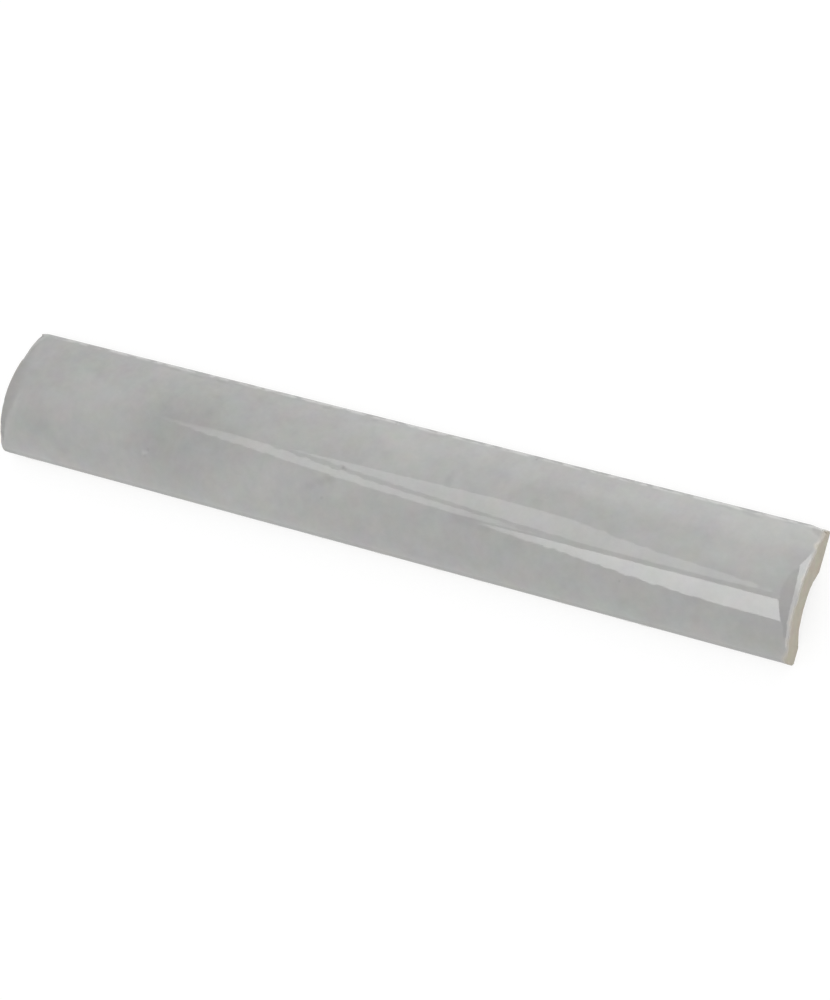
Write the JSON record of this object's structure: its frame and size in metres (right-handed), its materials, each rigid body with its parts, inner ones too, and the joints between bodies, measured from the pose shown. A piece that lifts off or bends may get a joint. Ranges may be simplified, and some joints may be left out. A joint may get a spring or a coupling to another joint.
{
  "type": "bullnose tile",
  "caption": "Narrow glazed ceramic trim tile with a domed bullnose face, a thin lip along one long edge and a shallow channel in the back.",
  "frame": {"origin": "on the back plane, under the middle of the strip's length and width", "axes": "+X along the strip's length, +Y towards the thin lip, +Z out of the glazed face"},
  "size_m": [0.2, 0.03, 0.0113],
  "materials": {
    "glazed_ceramic": "pale grey gloss glaze over a bare tan biscuit at the ends and back"
  },
  "bodies": {
    "root": {"bullnose_tile": "glazed_ceramic"}
  },
  "joints": []
}
